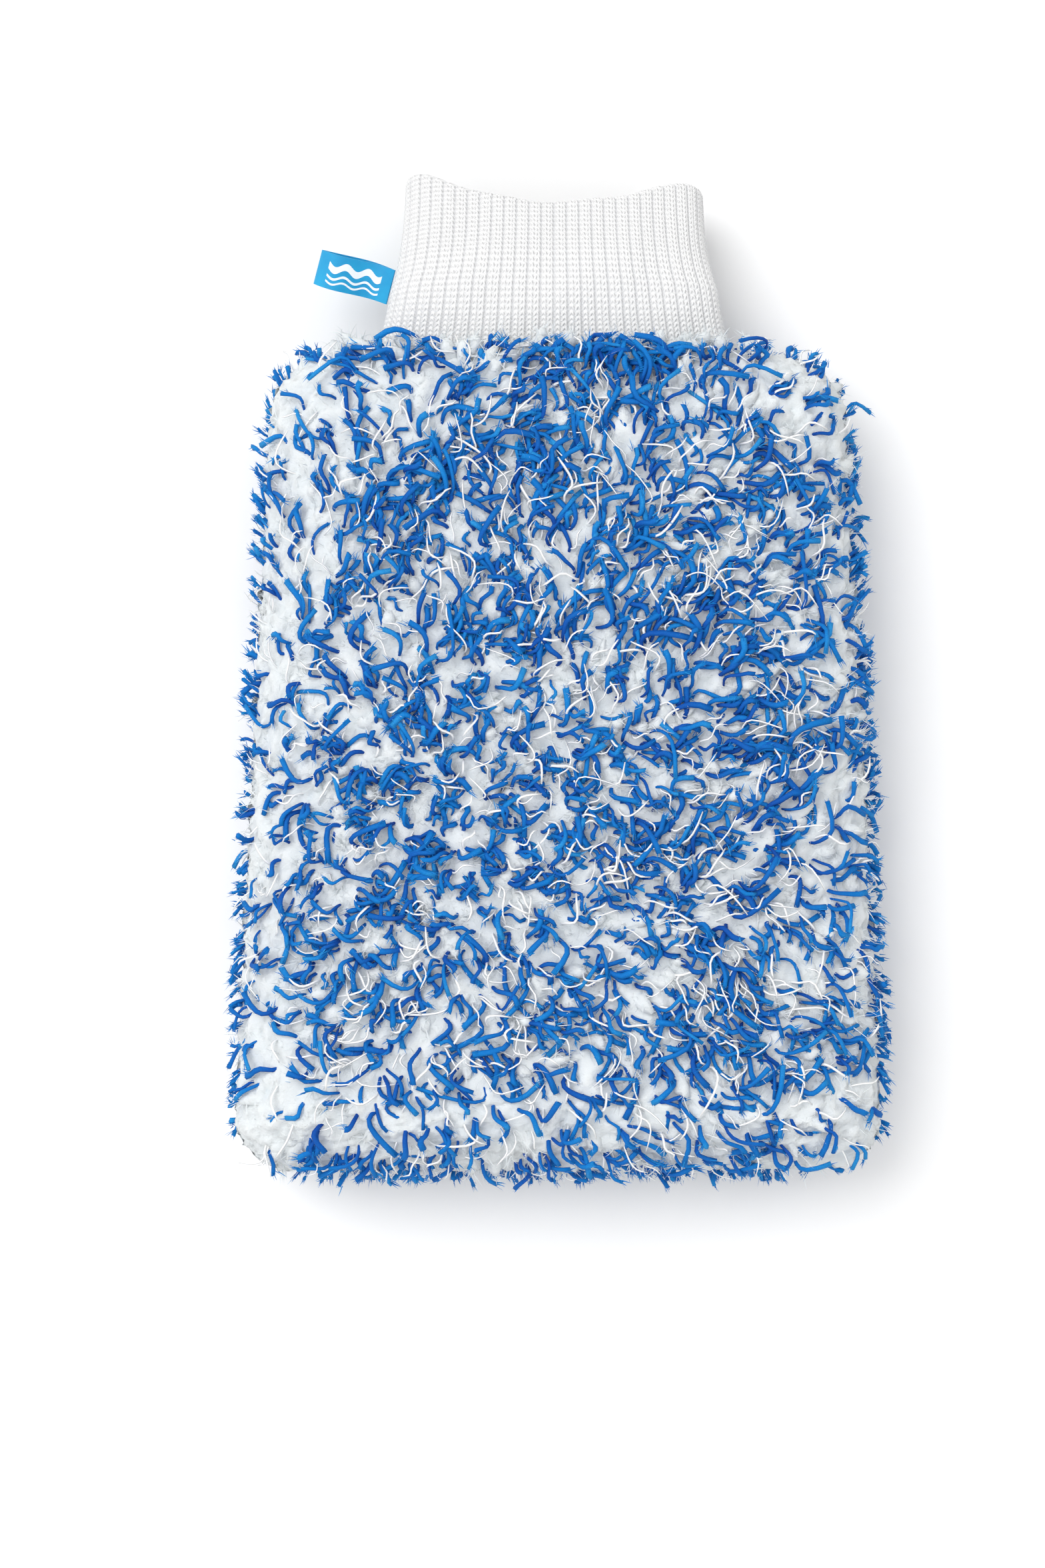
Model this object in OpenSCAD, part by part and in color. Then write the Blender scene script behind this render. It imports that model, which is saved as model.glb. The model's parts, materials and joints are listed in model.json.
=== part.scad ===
// Long-pile wash mitt with a folded rib-knit cuff and a ribbon label.
// It lies flat on its back panel: +Z is up, +Y runs towards the cuff, and the
// label is on the -X side. The origin is on the table, under the mitt's middle.

/* [Body] */
// Length of the whole mitt, with the pile and the cuff
total_l = 302; // [280:1:330]
// Length of the body with its pile, up to the plane where the cuff comes out
body_l = 248.5; // [230:0.5:260]
// Width over the pile, near the cuff
body_w_top = 177; // [165:1:190]
// Width over the pile, near the closed end
body_w_end = 195; // [180:1:210]
// Radius of the body's corners, seen from above
corner_r = 20; // [14:1:28]
// Height of the seam between the front and back panels above the table
seam_z = 26; // [24:1:30]
// Height of the front pile's top above the table
body_h = 58; // [54:1:66]

/* [Layers] */
// Depth of the pile beyond the bag at the sides and at the closed end
pile_side = 17; // [14:0.5:20]
// Half height of the pocket for the hand
pocket_half_h = 12.5; // [11:0.5:13]
// Thickness of the knitted base cloth
base_t = 1.2; // [0.8:0.1:1.5]
// Thickness of the foam layer
foam_t = 3; // [2:0.5:3.5]
// Thickness of the lining
lining_t = 1; // [0.6:0.1:1.2]
// Half width of the pocket's mouth
mouth_half_w = 47.3; // [44:0.1:48]
// Half height of the pocket's mouth
mouth_half_h = 11; // [9:0.5:11.5]
// Diameter of the seam threads
thread_d = 1.4; // [0.8:0.1:1.4]

/* [Cuff] */
// Distance from the pile's edge to the line where the cuff bends
bend_gap = 17; // [16:0.5:18]
// Angle by which the cuff droops when the mitt lies at rest
droop = 15; // [8:1:18]
// Half width of the cuff at its mouth
cuff_half_w = 45; // [42:0.5:47]
// Extra half width where the cuff meets the body
cuff_flare = 7.4; // [6:0.1:8]
// Half height of the cuff where it bends
cuff_half_h = 15; // [14.5:0.5:15]
// Half height of the cuff at its mouth
cuff_mouth_half_h = 12.5; // [11:0.5:13]
// Thickness of one of the cuff's two knitted layers
cuff_layer_t = 1.4; // [1:0.1:1.5]
// Depth of the dip in the middle of the cuff's front edge
mouth_dip = 13.5; // [8:0.5:16]
// How much lower the cuff's right corner is than its left corner
corner_drop = 3.2; // [0:0.2:5]

/* [Label] */
// Width of the ribbon
label_w = 10.6; // [8:0.2:12]
// Length of the folded ribbon outside the cuff
label_l = 23; // [18:0.5:26]
// Thickness of the ribbon
label_t = 0.45; // [0.3:0.05:0.6]
// Widest opening between the ribbon's two layers
label_gap = 3.6; // [2:0.2:4]
// Lean of the label towards the cuff's mouth
label_lean = 17; // [10:1:22]
// Roll of the label about its own length
label_roll = 28; // [0:1:35]
// Distance along the cuff from its bend line to the label's middle
label_s = 1.5; // [1:0.5:6]

/* [Hidden] */

WHITE = "whitesmoke";
PILE_BLUE = "#86a8cf";
LABEL_BLUE = "#009fd2";

air = 0.1;                          // clearance between neighbouring layers
y_end = -total_l / 2;               // closed end of the body
y_mouth = y_end + body_l;           // plane where the cuff comes out
bend_y = y_mouth + bend_gap;        // the cuff's bend line runs along X here
cuff_x = -1.2;                      // the cuff sits slightly left of the middle
arc_n = 18;                         // steps over half a section
section_e = 3;                      // how square the body's sections are
shoulder_l = 22;                    // length of the bag's shoulders
seam_room = 2.6;                    // room beside each seam for its thread

// A boundary surface: [side offset, top half height, bottom half height,
// half width at its neck, half height at its neck, y at its neck's start].
pile_out = [0, body_h - seam_z, seam_z + 1.2, 67, 19, y_mouth];
h_lin = pocket_half_h + lining_t;
h_foam = h_lin + air + foam_t;
h_base = h_foam + air + base_t;
o_foam = pile_side + air + base_t + seam_room + 0.8;
o_lin = o_foam + foam_t + seam_room;
neck_y = y_mouth - 12.5;
neck_room = 2;                      // room in the neck for the joining thread
n_lin = [mouth_half_w + lining_t, mouth_half_h + lining_t];
n_base = n_lin + [neck_room, neck_room];
n_pile = n_base + [base_t, base_t];
pile_in = [pile_side, h_base + air, h_base + air, n_pile[0] + air, n_pile[1] + air, neck_y];
base_out = [pile_side + air, h_base, h_base, n_pile[0], n_pile[1], neck_y];
base_in = [pile_side + air + base_t, h_foam + air, h_foam + air, n_base[0], n_base[1], neck_y];
foam_out = [o_foam, h_foam, h_foam, n_base[0] - 1, n_base[1], neck_y - 4];
foam_in = [o_foam + 2, h_lin + air, h_lin + air, n_lin[0] + 1, n_lin[1] + 1, neck_y - 6];
lin_out = [o_lin, h_lin, h_lin, n_lin[0], n_lin[1], neck_y - 9];
lin_in = [o_lin + lining_t, pocket_half_h, pocket_half_h, mouth_half_w, mouth_half_h, neck_y - 10];

function signed_pow(v, e) = sign(v) * pow(abs(v), e);
function mix(a, b, u) = a + (b - a) * u;
function quarter(u) = sqrt(max(0, 1 - u * u));

// Half width over the pile at y, before the corners are rounded.
function full_half_w(y) = mix(body_w_end, body_w_top, (y + 100) / 182) / 2;

// How far a boundary has closed in at its shoulders: 1 before them, 0 at the neck.
function shoulder(b, y) = quarter(min(1, max(0, (y - b[5] + shoulder_l) / shoulder_l)));

// Half width and half height of a boundary at y. Both are rounded at the closed end.
function end_y(b) = y_end + b[0];
function end_r(b) = max(corner_r - 0.5 * b[0], 7);
function closing(b, y, r) = quarter(min(1, max(0, 1 - (y - end_y(b)) / r)) * 0.97);
function bound_w(b, y) =
    let (full = full_half_w(y) - b[0], r = end_r(b))
    mix(b[3], full - r * (1 - closing(b, y, r)), shoulder(b, y));
function bound_h(b, y, side) =
    let (full = side > 0 ? b[1] : b[2])
    mix(b[4], full * closing(b, y, 26), shoulder(b, y));

// Points over half a section at y, from +X to -X. No point goes under the table.
function half_arc(b, y, side) =
    let (w = bound_w(b, y), open = y >= end_y(b) ? 1 : 0, h = open * bound_h(b, y, side))
    [for (i = [0 : arc_n])
        let (t = 180 * i / arc_n)
        [w * signed_pow(cos(t), 2 / section_e), y,
         max(0, seam_z + side * (0.05 + h * signed_pow(sin(t), 2 / section_e)))]];

// One panel's layer between an outer and an inner boundary, as rings joined along Y.
function reversed(v) = [for (i = [len(v) - 1 : -1 : 0]) v[i]];
// All layers share the stations, so that neighbouring surfaces stay parallel.
shared_ys = concat(
    [for (d = [1.5, 3.5, 6.5, 10.5, 14.5, 18.3, 19.5, 22.7, 25.5, 30, 33.5, 38, 44, 52]) y_end + d],
    [for (u = [0.25, 0.5, 0.75, 1]) mix(y_end + 52, y_mouth - 45, u)],
    [for (d = [38, 33, 28.5, 24.5, 21, 18.3, 16, 14.2, 12.8, 10, 6, 2.5]) y_mouth - d]);
function stations(outer, inner, y_top) =
    let (a = end_y(outer), b = end_y(inner), thick = b - a > 6)
    concat(
        [a], [for (y = shared_ys) if (y > a + 0.5 && y < b - (thick ? 1.5 : 0.5)) y],
        thick ? [b - 1, b] : [b], [for (y = shared_ys) if (y > b + 0.5 && y < y_top - 0.5) y], [y_top]);

module layer(outer, inner, side, y_top) {
    ys = stations(outer, inner, y_top);
    m = 2 * (arc_n + 1);
    rings = [for (y = ys)
        let (ring = concat(half_arc(outer, y, side), reversed(half_arc(inner, y, side))))
        side > 0 ? ring : reversed(ring)];
    last = (len(ys) - 1) * m;
    // Inner and outer walls are cut along the same diagonals, so that neighbouring layers don't cross.
    walls = [for (j = [0 : len(ys) - 2], i = [0 : m - 1])
        let (p = j * m + i, q = j * m + (i + 1) % m)
        each i <= arc_n ? [[p, q, p + m], [q, q + m, p + m]] : [[p, q, q + m], [p, q + m, p + m]]];
    // The inner edge lies on the rim, so the diagonals turn at the middle: no triangle is flat.
    closed_cap = [for (i = [0 : arc_n - 1])
        let (k = m - 1 - i, rising = i < arc_n / 2)
        each (side > 0) == rising ? [[i, k, i + 1], [k, k - 1, i + 1]] : [[i, k, k - 1], [i, k - 1, i + 1]]];
    neck_cap = [for (i = [0 : arc_n - 1])
        let (k = last + m - 1 - i, p = last + i)
        each side > 0 ? [[p, p + 1, k], [p + 1, k - 1, k]] : [[p, p + 1, k - 1], [p, k - 1, k]]];
    polyhedron([for (r = rings) each r], concat(walls, closed_cap, neck_cap));
}

// A thread along a list of points: one closed tube, round in section.
function unit(v) = v / norm(v);
module thread(path, loop, d = thread_d) {
    n = len(path);
    sides = 8;
    pts = [for (i = [0 : n - 1])
        let (
            before = path[loop ? (i + n - 1) % n : max(i - 1, 0)],
            after = path[loop ? (i + 1) % n : min(i + 1, n - 1)],
            along = unit(after - before),
            out = unit(cross(along, [0.12, 0.1, 1])),
            up = cross(along, out))
        each [for (k = [0 : sides - 1])
            path[i] + d / 2 * (cos(360 * k / sides) * out + sin(360 * k / sides) * up)]];
    walls = [for (i = [0 : loop ? n - 1 : n - 2], k = [0 : sides - 1])
        let (a = i * sides, b = ((i + 1) % n) * sides, l = (k + 1) % sides)
        each [[a + k, b + k, b + l], [a + k, b + l, a + l]]];
    caps = loop ? [] : [
        [for (k = [0 : sides - 1]) k],
        [for (k = [sides - 1 : -1 : 0]) (n - 1) * sides + k]];
    polyhedron(pts, concat(walls, caps));
}

// The seam line round the bag's sides and closed end, inset from a boundary.
function seam_path(b, inset) =
    let (
        line = [b[0] + inset, b[1], b[2], b[3] - inset, b[4], b[5]],
        y_top = b[5] - shoulder_l,
        ys = concat(
            [for (u = [0 : 0.1 : 0.9]) mix(y_top, end_y(line) + 16, u)],
            [for (d = [16, 12, 9, 6.5, 4.5, 3, 1.8, 0.8, 0]) end_y(line) + d]),
        right = [for (y = ys) [bound_w(line, y), y, seam_z]])
    concat(right, reversed([for (p = right) [-p[0], p[1], p[2]]]));

// The cuff in its own frame: X across, Y along it from its bend line, Z through it.
module in_cuff_frame() {
    translate([cuff_x, bend_y, seam_z]) rotate([-droop, 0, 0]) children();
}
ear_l = (total_l / 2 - bend_y) / cos(droop);
flare_l = 9;
function cuff_w(s) = cuff_half_w + (cuff_flare - 3.4) * exp(-max(s, 0) / flare_l);
function cuff_h(s) = mix(cuff_half_h, cuff_mouth_half_h, min(1, max(0, s / ear_l)));
function cuff_gap(cx) = 0.4 + 1.2 * pow(abs(cx), 8);

// Length of the cuff at a point of its section: the corners stand higher.
function cuff_len(cx, cz) =
    let (ear = cx < 0 ? ear_l : ear_l - corner_drop, mid = cz < 0 ? ear_l - 10 : ear_l - mouth_dip)
    mix(mid, ear, pow(abs(cx), 1.5)) - 3.2 * pow(abs(cx), 16);

// A point of the cuff at angle t, at share u of its length, at depth o in its wall.
function cuff_pt(t, u, o, over = 0) =
    let (
        cx = signed_pow(cos(t), 2 / section_e),
        cz = signed_pow(sin(t), 2 / section_e),
        s = u * (cuff_len(cx, cz) - 1.6) + over)
    [(cuff_w(s) - o) * cx, s, (cuff_h(s) - o) * cz];

// A wall profile swept round the cuff's section: a closed ring with no caps.
module ring_sweep(rows) {
    n = len(rows);
    m = len(rows[0]);
    faces = [for (i = [0 : n - 1], k = [0 : m - 1])
        let (a = i * m, b = ((i + 1) % n) * m, l = (k + 1) % m)
        each [[a + k, a + l, b + l], [a + k, b + l, b + k]]];
    polyhedron([for (r = rows) each r], faces);
}

module rib_cuff() {
    along = [0, 0.15, 0.35, 0.6, 0.85, 1];
    rows = [for (i = [0 : 47])
        let (
            t = 7.5 * i,
            g = cuff_gap(signed_pow(cos(t), 2 / section_e)),
            deep = 2 * cuff_layer_t + g)
        concat(
            [for (u = along) cuff_pt(t, u, 0)],
            [cuff_pt(t, 1, 0.5, 1.2), cuff_pt(t, 1, deep / 2, 1.6), cuff_pt(t, 1, deep - 0.5, 1.2)],
            [for (u = reversed(along)) cuff_pt(t, u, deep)],
            [for (u = [0, 0.3, 0.6, 0.93]) cuff_pt(t, u, cuff_layer_t + g)],
            [for (u = [0.93, 0.6, 0.3, 0]) cuff_pt(t, u, cuff_layer_t)])];
    color(WHITE) in_cuff_frame() ring_sweep(rows);
}

// The bend zone joins the body's neck, an upright oval, to the start of the cuff.
function turn_droop(p) =
    [p[0] + cuff_x, bend_y + p[1] * cos(droop) + p[2] * sin(droop),
     seam_z - p[1] * sin(droop) + p[2] * cos(droop)];
function root_pt(t, u, deep) =
    let (
        cx = signed_pow(cos(t), 2 / section_e),
        cz = signed_pow(sin(t), 2 / section_e),
        near = [cuff_x + (cuff_half_w + cuff_flare - deep) * cx, y_mouth + 2 * air,
                seam_z + (cuff_half_h - deep) * cz],
        far = turn_droop([(cuff_w(0) - deep) * cx, -2 * air, (cuff_h(0) - deep) * cz]))
    mix(near, far, u);
module cuff_root() {
    rows = [for (i = [0 : 47])
        let (
            t = 7.5 * i,
            deep = 2 * cuff_layer_t + cuff_gap(signed_pow(cos(t), 2 / section_e)))
        concat(
            [for (u = [0, 0.5, 1]) root_pt(t, u, 0)],
            [for (u = [1, 0.5, 0]) root_pt(t, u, deep)])];
    color(WHITE) ring_sweep(rows);
}

module cuff_seam_thread() {
    path = [for (s = [1 : 3 : ear_l - 9])
        [-(cuff_w(s) - cuff_layer_t - cuff_gap(1) / 2), s, 0]];
    color(WHITE) in_cuff_frame() thread(path, false, 0.9);
}

module cuff_join_thread() {
    mid = n_lin + [neck_room / 2, neck_room / 2];
    path = [for (i = [0 : 63])
        let (t = 360 * i / 64)
        [mid[0] * signed_pow(cos(t), 2 / section_e), y_mouth - 5,
         seam_z + mid[1] * signed_pow(sin(t), 2 / section_e)]];
    rows = [for (i = [0 : 63])
        let (r = thread_d / 2, c = path[i] - [0, 0, seam_z], out = unit([c[0] / 14, 0, c[2]]))
        [for (k = [0 : 7]) path[i] + r * (cos(45 * k) * out + [0, sin(45 * k), 0])]];
    color(WHITE) ring_sweep(rows);
}

// Panels
module front_pile() { color(PILE_BLUE) layer(pile_out, pile_in, 1, y_mouth); }
module front_base_cloth() { color(WHITE) layer(base_out, base_in, 1, y_mouth); }
module front_foam() { color("ivory") layer(foam_out, foam_in, 1, y_mouth - 24); }
module front_lining() { color(WHITE) layer(lin_out, lin_in, 1, y_mouth); }
module back_pile() { color(PILE_BLUE) layer(pile_out, pile_in, -1, y_mouth); }
module back_base_cloth() { color(WHITE) layer(base_out, base_in, -1, y_mouth); }
module back_foam() { color("ivory") layer(foam_out, foam_in, -1, y_mouth - 24); }
module back_lining() { color(WHITE) layer(lin_out, lin_in, -1, y_mouth); }
module shell_seam_thread() { color(WHITE) thread(seam_path(base_in, seam_room / 2 + 0.2), false); }
module lining_seam_thread() { color(WHITE) thread(seam_path(foam_in, seam_room / 2 - 0.3), false, 1); }

// Label: a ribbon folded into a loop. U runs out along it and V through it.
label_hinge_out = 1.5;              // from the cuff's side to the label's hinge line
function label_wave(u) = -1.15 * sin(360 * u / 24) - 0.5 * sin(180 * u / 24);
function label_open(u) = label_gap * sin(180 * pow(u / label_l, 1.35));
module label_ribbon() {
    n = 20;
    us = [for (i = [0 : n]) label_l * i / n];
    front = [for (u = us) [u, label_wave(u) + 0.35 * label_open(u) + label_t]];
    front_in = [for (u = us) if (u > 1 && u < label_l - 1.2) [u, label_wave(u) + 0.35 * label_open(u)]];
    back_in = [for (u = us) if (u > 1 && u < label_l - 1.2) [u, label_wave(u) - 0.65 * label_open(u)]];
    back = [for (u = us) [u, label_wave(u) - 0.65 * label_open(u) - label_t]];
    color(LABEL_BLUE)
        in_cuff_frame()
        translate([-cuff_w(label_s) - label_hinge_out, label_s, 0])
        rotate([0, 0, 180 - label_lean])
        rotate([90 - label_roll, 0, 0])
        linear_extrude(height = label_w, center = true)
        difference() {
            polygon(concat(front, reversed(back)));
            polygon(concat(front_in, reversed(back_in)));
        }
}

front_pile();
front_base_cloth();
front_foam();
front_lining();
back_pile();
back_base_cloth();
back_foam();
back_lining();
shell_seam_thread();
lining_seam_thread();
cuff_join_thread();
cuff_root();
rib_cuff();
cuff_seam_thread();
label_ribbon();
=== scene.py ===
"""A long-pile wash mitt lying flat, seen from straight above.

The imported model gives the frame: +Z up, +Y towards the cuff, +X across, away
from the label. Lengths are in metres, and MM turns millimetres into them.
"""
import json
import math

import bpy
import numpy as np
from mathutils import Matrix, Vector
from mathutils.bvhtree import BVHTree
from mathutils.noise import fractal


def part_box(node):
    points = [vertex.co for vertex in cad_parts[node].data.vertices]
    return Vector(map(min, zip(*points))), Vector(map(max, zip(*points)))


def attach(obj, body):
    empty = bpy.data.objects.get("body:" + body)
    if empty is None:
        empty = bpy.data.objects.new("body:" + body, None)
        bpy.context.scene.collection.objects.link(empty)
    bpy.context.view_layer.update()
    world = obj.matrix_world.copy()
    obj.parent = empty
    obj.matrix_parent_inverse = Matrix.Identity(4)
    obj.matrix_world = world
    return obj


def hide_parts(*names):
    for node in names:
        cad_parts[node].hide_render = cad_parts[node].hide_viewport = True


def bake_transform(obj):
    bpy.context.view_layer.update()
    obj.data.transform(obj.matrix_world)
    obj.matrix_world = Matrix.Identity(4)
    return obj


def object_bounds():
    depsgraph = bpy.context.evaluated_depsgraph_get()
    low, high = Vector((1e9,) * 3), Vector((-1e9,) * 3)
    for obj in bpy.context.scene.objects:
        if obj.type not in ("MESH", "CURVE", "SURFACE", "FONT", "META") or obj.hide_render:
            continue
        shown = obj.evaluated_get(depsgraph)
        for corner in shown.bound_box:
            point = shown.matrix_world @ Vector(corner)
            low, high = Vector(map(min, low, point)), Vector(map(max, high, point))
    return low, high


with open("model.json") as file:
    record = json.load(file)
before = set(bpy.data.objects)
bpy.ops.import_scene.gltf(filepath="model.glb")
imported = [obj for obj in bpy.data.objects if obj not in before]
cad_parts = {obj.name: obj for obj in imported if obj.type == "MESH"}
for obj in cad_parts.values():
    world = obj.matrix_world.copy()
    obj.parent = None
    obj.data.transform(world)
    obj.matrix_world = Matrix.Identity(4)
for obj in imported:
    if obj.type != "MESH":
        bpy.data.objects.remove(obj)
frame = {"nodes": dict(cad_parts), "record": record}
cad_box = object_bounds()
MM = 0.001
rng = np.random.default_rng(11)
nodes = frame["nodes"]
joints = {j["name"]: j for j in frame["record"]["behaviour"]["joints"]}

low, high = (np.array(c) for c in cad_box)
seam_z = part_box("front_pile")[0][2]             # the height of the side seam
mouth_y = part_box("front_base_cloth")[1][1]      # where the cuff comes out of the pile
FLOOR_GAP = 0.3 * MM                            # no strand dips below this
bend = np.array(joints["cuff_bend"]["pos_m"])


# ---------------------------------------------------------------- camera

def add_camera():
    """Looks straight down on the mitt, with the cuff at the top of the frame."""
    mid_height = 27 * MM
    view_height = 470.4 * MM
    lens = 100
    data = bpy.data.cameras.new("camera")
    data.lens = lens
    data.sensor_width = 36
    camera = bpy.data.objects.new("camera", data)
    distance = view_height * lens / data.sensor_width
    camera.location = (-10.6 * MM, -33.2 * MM, mid_height + distance)
    bpy.context.scene.collection.objects.link(camera)
    bpy.context.scene.camera = camera


add_camera()


# ---------------------------------------------------------------- materials

def new_material(name, roughness, sheen=0.0):
    """A Principled material, with its node tree and its shader."""
    mat = bpy.data.materials.new(name)
    mat.use_nodes = True
    tree = mat.node_tree
    shader = tree.nodes["Principled BSDF"]
    shader.inputs["Roughness"].default_value = roughness
    shader.inputs["Sheen Weight"].default_value = sheen
    shader.inputs["Sheen Roughness"].default_value = 0.5
    return mat, tree, shader


def node(tree, kind, **values):
    """Adds a node; values name its inputs by name or number, or its settings."""
    made = tree.nodes.new(kind)
    for key, value in values.items():
        if hasattr(made, key):
            setattr(made, key, value)
        else:
            made.inputs[key.replace("_", " ")].default_value = value
    return made


def ramp(tree, source, stops):
    """Colours a 0-to-1 value by a list of (place, colour)."""
    made = tree.nodes.new("ShaderNodeValToRGB")
    while len(made.color_ramp.elements) < len(stops):
        made.color_ramp.elements.new(0.5)
    for element, (place, colour) in zip(made.color_ramp.elements, stops):
        element.position = place
        element.color = (*colour, 1)
    tree.links.new(source, made.inputs["Fac"])
    return made.outputs["Color"]


def noise(tree, scale, detail=3, vector=None, roughness=0.55):
    """Noise over Object coordinates, or over a given vector."""
    made = node(tree, "ShaderNodeTexNoise", Scale=scale, Detail=detail, Roughness=roughness)
    if vector is None:
        vector = tree.nodes.new("ShaderNodeTexCoord").outputs["Object"]
    tree.links.new(vector, made.inputs["Vector"])
    return made.outputs["Fac"]


def math_node(tree, operation, a, b=None, clamp=False):
    """One Math node. Each operand is a socket or a number."""
    made = tree.nodes.new("ShaderNodeMath")
    made.operation = operation
    made.use_clamp = clamp
    for place, value in enumerate([a, b]):
        if value is None:
            continue
        if isinstance(value, (int, float)):
            made.inputs[place].default_value = value
        else:
            tree.links.new(value, made.inputs[place])
    return made.outputs[0]


def attribute(tree, name):
    made = tree.nodes.new("ShaderNodeAttribute")
    made.attribute_name = name
    return made.outputs["Fac"]


def bump(tree, shader, height, strength, distance):
    made = tree.nodes.new("ShaderNodeBump")
    made.inputs["Strength"].default_value = strength
    made.inputs["Distance"].default_value = distance
    tree.links.new(height, made.inputs["Height"])
    tree.links.new(made.outputs["Normal"], shader.inputs["Normal"])


def plush_white():
    """White microfibre, matted in places, with painted shade: cool and darker in its depths, lighter at
    the tips.
    """
    mat, tree, shader = new_material("plush_white", 0.95, 0.4)
    shader.inputs["Specular IOR Level"].default_value = 0.2
    fluff = math_node(tree, "ADD", math_node(tree, "MULTIPLY", attribute(tree, "tint"), 0.25),
                      math_node(tree, "MULTIPLY", noise(tree, 200, 4), 0.45))
    # Painted shade: the along term darkens and cools the pile towards its roots and the ground's hollows,
    # and lightens the tips and lump tops.
    mix = math_node(tree, "ADD", fluff, math_node(tree, "MULTIPLY", attribute(tree, "along"), 0.4))
    colour = ramp(tree, mix, [(0.15, (0.74, 0.84, 0.9)), (0.45, (0.86, 0.91, 0.93)),
                              (0.85, (0.89, 0.925, 0.935))])
    tree.links.new(colour, shader.inputs["Base Color"])
    bump(tree, shader, noise(tree, 900, 5, roughness=0.8), 0.9, 0.7 * MM)
    return mat


def yarn_blue():
    """Blue spun yarn: each end has its own tone, with fine fibres along it, and painted shade that darkens
    it towards the root where it comes out of the pile.
    """
    mat, tree, shader = new_material("yarn_blue", 0.75)
    shader.inputs["Specular IOR Level"].default_value = 0.25
    fibres = noise(tree, 2600, 3, roughness=0.7)
    mix = math_node(tree, "ADD", math_node(tree, "MULTIPLY", attribute(tree, "tint"), 0.3),
                    math_node(tree, "MULTIPLY", fibres, 0.36))
    # Painted shade: along darkens each end towards its root, where it comes up out of the pile.
    mix = math_node(tree, "ADD", mix, math_node(tree, "MULTIPLY", attribute(tree, "along"), 0.42))
    colour = ramp(tree, mix, [(0.2, (0.0, 0.025, 0.23)), (0.5, (0.0, 0.08, 0.39)),
                              (0.78, (0.0, 0.18, 0.55)), (1.0, (0.04, 0.36, 0.7))])
    tree.links.new(colour, shader.inputs["Base Color"])
    bump(tree, shader, fibres, 0.5, 0.25 * MM)
    return mat


def filament_white():
    """Thin glossy white filament."""
    mat, tree, shader = new_material("filament_white", 0.3)
    colour = ramp(tree, attribute(tree, "tint"), [(0, (0.92, 0.93, 0.94)), (1, (1.0, 1.0, 0.98))])
    tree.links.new(colour, shader.inputs["Base Color"])
    shader.inputs["Coat Weight"].default_value = 0.4
    bump(tree, shader, noise(tree, 900, 2), 0.2, 0.1 * MM)
    return mat


def rib_knit():
    """White cotton rib: columns of V stitches on the ribs, with painted shade in the grooves."""
    mat, tree, shader = new_material("rib_knit", 0.9, 0.2)
    uv = tree.nodes.new("ShaderNodeUVMap")
    uv.uv_map = "knit"
    split = tree.nodes.new("ShaderNodeSeparateXYZ")
    tree.links.new(uv.outputs["UV"], split.inputs[0])
    across, along = split.outputs[0], split.outputs[1]
    # Across one wale 0 to 1; the two legs of each V lean towards its middle.
    wale = math_node(tree, "FRACT", across)
    lean = math_node(tree, "MULTIPLY", math_node(tree, "PINGPONG", wale, 0.5), 1.3)
    row = math_node(tree, "SUBTRACT", along, lean)
    leg = math_node(tree, "SINE", math_node(tree, "MULTIPLY", row, 2 * math.pi))
    spine = math_node(tree, "COSINE", math_node(tree, "MULTIPLY", wale, 4 * math.pi))
    relief = math_node(tree, "SUBTRACT", leg, math_node(tree, "MULTIPLY", spine, 0.7))
    fluff = noise(tree, 1400, 4, roughness=0.7)
    relief = math_node(tree, "ADD", math_node(tree, "MULTIPLY", relief, 0.5), fluff)
    bump(tree, shader, relief, 0.8, 0.5 * MM)
    # Painted shade: the rib attribute is low in the grooves, so the ramp darkens them.
    mix = math_node(tree, "ADD", math_node(tree, "MULTIPLY", attribute(tree, "rib"), 0.75),
                    math_node(tree, "MULTIPLY", fluff, 0.35))
    colour = ramp(tree, mix, [(0.15, (0.74, 0.75, 0.765)), (0.5, (0.86, 0.86, 0.865)),
                              (0.85, (0.9, 0.9, 0.9))])
    tree.links.new(colour, shader.inputs["Base Color"])
    return mat


def woven(name, colour, shade, scale, roughness=0.8):
    """Plain woven or knitted cloth: a fine grid of threads over Object coordinates."""
    mat, tree, shader = new_material(name, roughness, 0.2)
    coords = tree.nodes.new("ShaderNodeTexCoord")
    split = tree.nodes.new("ShaderNodeSeparateXYZ")
    tree.links.new(coords.outputs["Object"], split.inputs[0])
    warp = math_node(tree, "SINE", math_node(tree, "MULTIPLY", split.outputs[0], scale))
    weft = math_node(tree, "SINE", math_node(tree, "MULTIPLY", split.outputs[1], scale))
    weave = math_node(tree, "MULTIPLY", warp, weft)
    mix = math_node(tree, "ADD", math_node(tree, "MULTIPLY", weave, 0.25), noise(tree, 240, 4))
    tree.links.new(ramp(tree, mix, [(0.25, shade), (0.75, colour)]), shader.inputs["Base Color"])
    bump(tree, shader, weave, 0.4, 0.2 * MM)
    return mat


PLUSH = plush_white()
BLUE = yarn_blue()
FILAMENT = filament_white()
KNIT = rib_knit()
# The base cloth's pale blue tones are painted shade, set for where it shows deep between the locks; its
# weave is its own.
BASE_CLOTH = woven("base_cloth_knit", (0.7, 0.76, 0.84), (0.45, 0.55, 0.7), 6000)
FOAM = woven("foam_cells", (0.85, 0.82, 0.72), (0.7, 0.66, 0.55), 9000)
LINING = woven("lining_weave", (0.8, 0.81, 0.83), (0.68, 0.7, 0.73), 7000)
THREAD = woven("sewing_thread", (0.85, 0.85, 0.85), (0.7, 0.7, 0.7), 11000)

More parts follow.
